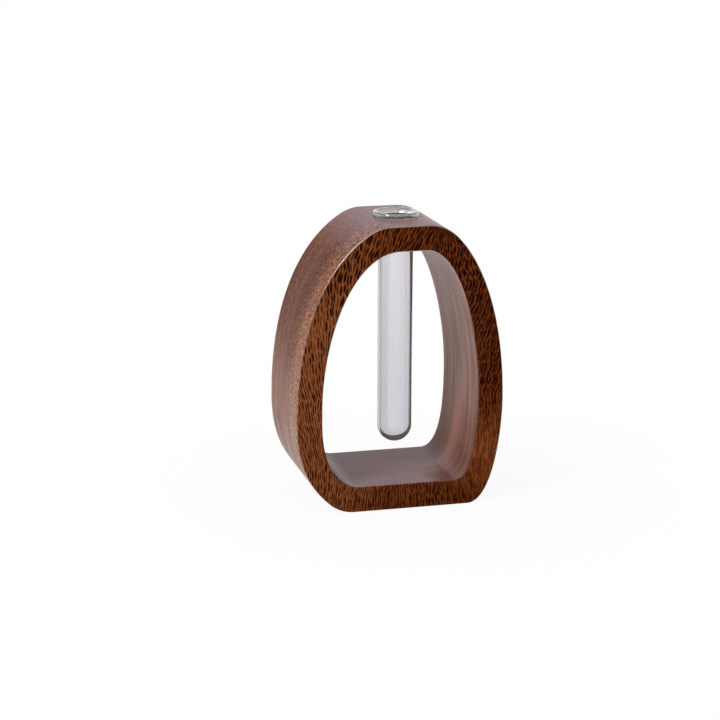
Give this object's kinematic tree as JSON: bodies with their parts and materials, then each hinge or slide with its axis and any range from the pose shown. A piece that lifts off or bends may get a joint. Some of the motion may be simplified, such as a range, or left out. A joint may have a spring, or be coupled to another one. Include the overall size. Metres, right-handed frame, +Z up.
{
  "type": "test tube vase",
  "caption": "Egg-shaped wooden arch that stands on a flat base and carries a lipped glass test tube through a hole in its crown, to hold a cut flower in water.",
  "frame": {"origin": "under the middle of the frame, on the surface that it stands on", "axes": "+X to the right across the arch as seen from the front, +Y through the arch to the back, +Z up"},
  "size_m": [0.07, 0.04, 0.0967],
  "materials": {
    "wood": "oiled, satin, with dark open pores",
    "glass": "clear, polished"
  },
  "bodies": {
    "frame": {"wooden_frame": "wood"},
    "tube": {"test_tube": "glass"}
  },
  "joints": [
    {"name": "tube_lift", "type": "slide", "parent": "frame", "child": "tube", "axis": [0, 0, 1], "range_m": [0, 0.085]}
  ]
}
